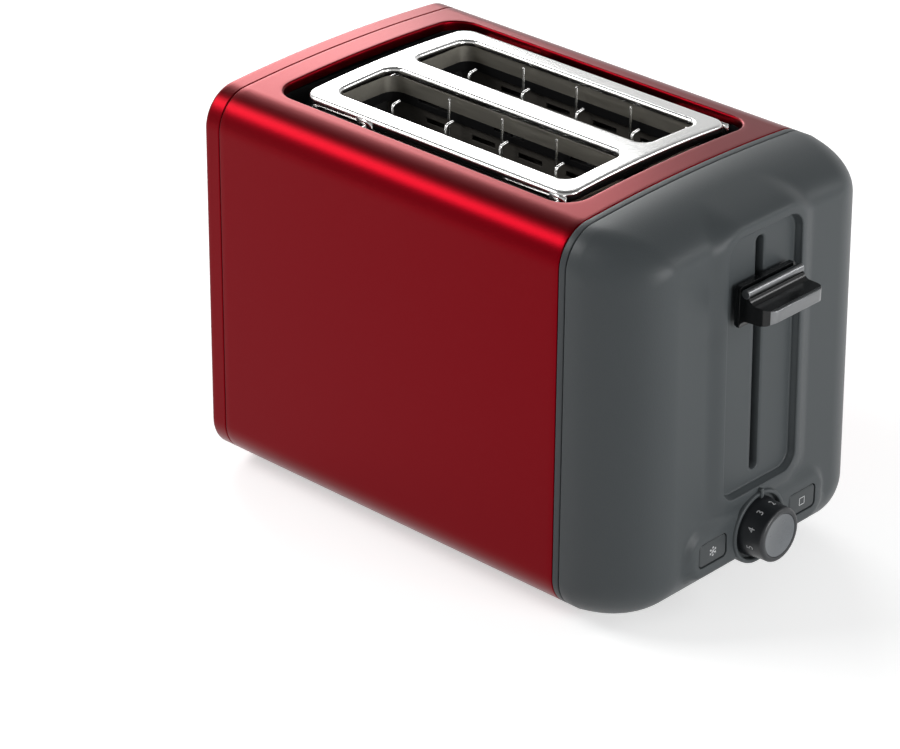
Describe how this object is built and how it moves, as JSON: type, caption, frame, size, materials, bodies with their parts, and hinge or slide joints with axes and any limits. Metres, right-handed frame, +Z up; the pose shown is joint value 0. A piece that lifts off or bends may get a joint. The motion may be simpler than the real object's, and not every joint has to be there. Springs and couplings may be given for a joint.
{
  "type": "pop-up toaster",
  "caption": "Compact pop-up toaster: lacquered steel sleeve, grey moulded lever end, long bread slots under a fold-up steel rack, lever, browning knob, push buttons and crumb tray.",
  "frame": {"origin": "on the floor under the middle of the overall box", "axes": "+Z up, +X towards the lever end, bread slots along X"},
  "size_m": [0.2838, 0.163, 0.1933],
  "materials": {
    "lacquer_red": "clear gloss lacquer",
    "cap_plastic": "satin moulded",
    "ring_plastic": "satin moulded",
    "cover_plastic": "satin moulded",
    "black_plastic": "satin moulded",
    "polished_steel": "polished",
    "bright_wire": "drawn and plated",
    "foot_rubber": "matt",
    "tray_steel": "plain rolled",
    "chassis_steel": "plain rolled",
    "mica": "layered, matt",
    "heating_ribbon": "oxidised",
    "rest_steel": "pressed",
    "carriage_steel": "pressed",
    "rod_steel": "ground",
    "spring_steel": "drawn",
    "lever_black": "gloss moulded",
    "satin_silver": "satin",
    "latch_iron": "machined",
    "coil_copper": "enamelled wire",
    "board_green": "solder-resist",
    "control_body": "moulded",
    "shaft_steel": "turned",
    "knob_black": "satin moulded",
    "button_plastic": "satin moulded",
    "terminal_plastic": "moulded",
    "screw_steel": "zinc plated"
  },
  "bodies": {
    "shell": {"sleeve": "lacquer_red", "rear_band": "lacquer_red", "rear_cover": "cover_plastic", "cord_inlet": "black_plastic", "end_ring": "ring_plastic", "end_cap": "cap_plastic", "pocket_liner": "black_plastic", "slot_frame_near": "chassis_steel", "slot_frame_far": "chassis_steel", "base_pan": "black_plastic", "feet": "foot_rubber", "bulkhead_rear": "chassis_steel", "bulkhead_front": "chassis_steel", "reflector_near": "chassis_steel", "reflector_far": "chassis_steel", "card_near_outer": "mica", "card_near_inner": "mica", "card_far_inner": "mica", "card_far_outer": "mica", "ribbon_near_outer": "heating_ribbon", "ribbon_near_inner": "heating_ribbon", "ribbon_far_inner": "heating_ribbon", "ribbon_far_outer": "heating_ribbon", "guide_rods": "rod_steel", "return_spring": "spring_steel", "magnet_yoke": "latch_iron", "magnet_coil": "coil_copper", "control_board": "board_green", "browning_pot": "control_body", "button_switches": "control_body", "terminal_block": "terminal_plastic", "chassis_screws": "screw_steel", "base_screws": "screw_steel"},
    "carriage": {"carriage_bracket": "carriage_steel", "bread_rest_near": "rest_steel", "bread_rest_far": "rest_steel", "lever_arm": "carriage_steel", "lever_handle": "lever_black", "lever_trim": "satin_silver", "keeper": "latch_iron"},
    "guard_near_outer": {"guard_near_outer": "bright_wire"},
    "guard_near_inner": {"guard_near_inner": "bright_wire"},
    "guard_far_inner": {"guard_far_inner": "bright_wire"},
    "guard_far_outer": {"guard_far_outer": "bright_wire"},
    "browning_knob": {"knob": "knob_black", "knob_disc": "satin_silver", "pot_shaft": "shaft_steel"},
    "button_left": {"button_left": "button_plastic"},
    "button_right": {"button_right": "button_plastic"},
    "tray": {"crumb_tray": "tray_steel", "tray_handle": "cover_plastic"},
    "bail_rear": {"rack_bail_rear": "bright_wire"},
    "bail_front": {"rack_bail_front": "bright_wire"},
    "rack": {"warming_rack": "polished_steel"}
  },
  "joints": [
    {"name": "lever_slide", "type": "slide", "parent": "shell", "child": "carriage", "axis": [0, 0, 1], "range_m": [-0.08, 0.014], "stiffness_N_per_m": 60, "springref_m": 0.02, "deforming": ["return_spring"]},
    {"name": "guard_near_outer_slide", "type": "slide", "parent": "shell", "child": "guard_near_outer", "axis": [0, 1, 0], "range_m": [-0.00122, 0.007]},
    {"name": "guard_near_inner_slide", "type": "slide", "parent": "shell", "child": "guard_near_inner", "axis": [0, -1, 0], "range_m": [-0.00122, 0.007]},
    {"name": "guard_far_inner_slide", "type": "slide", "parent": "shell", "child": "guard_far_inner", "axis": [0, 1, 0], "range_m": [-0.00122, 0.007]},
    {"name": "guard_far_outer_slide", "type": "slide", "parent": "shell", "child": "guard_far_outer", "axis": [0, -1, 0], "range_m": [-0.00122, 0.007]},
    {"name": "knob_turn", "type": "hinge", "parent": "shell", "child": "browning_knob", "pos_m": [0.12591, 0, 0.035], "axis": [1, 0, 0], "range_deg": [-145, 48]},
    {"name": "button_left_press", "type": "slide", "parent": "shell", "child": "button_left", "axis": [1, 0, 0], "range_m": [-0.002, 0], "stiffness_N_per_m": 400, "springref_m": 0.002},
    {"name": "button_right_press", "type": "slide", "parent": "shell", "child": "button_right", "axis": [1, 0, 0], "range_m": [-0.002, 0], "stiffness_N_per_m": 400, "springref_m": 0.002},
    {"name": "tray_slide", "type": "slide", "parent": "shell", "child": "tray", "axis": [-1, 0, 0], "range_m": [0, 0.17]},
    {"name": "rack_lift", "type": "hinge", "parent": "shell", "child": "bail_rear", "pos_m": [-0.09425, 0, 0.1815], "axis": [0, -1, 0], "range_deg": [0, 84]},
    {"name": "rack_level", "type": "hinge", "parent": "bail_rear", "child": "rack", "pos_m": [-0.06031, 0, 0.1835], "axis": [0, -1, 0], "range_deg": [-84, 0]},
    {"name": "front_bail_turn", "type": "hinge", "parent": "shell", "child": "bail_front", "pos_m": [0.01891, 0, 0.1815], "axis": [0, -1, 0], "range_deg": [0, 84]}
  ],
  "couplings": [
    {"joint": "guard_near_outer_slide", "follows": "lever_slide", "ratio": -0.0875},
    {"joint": "guard_near_inner_slide", "follows": "lever_slide", "ratio": -0.0875},
    {"joint": "guard_far_inner_slide", "follows": "lever_slide", "ratio": -0.0875},
    {"joint": "guard_far_outer_slide", "follows": "lever_slide", "ratio": -0.0875},
    {"joint": "rack_level", "follows": "rack_lift", "ratio": -1},
    {"joint": "front_bail_turn", "follows": "rack_lift", "ratio": 1}
  ]
}
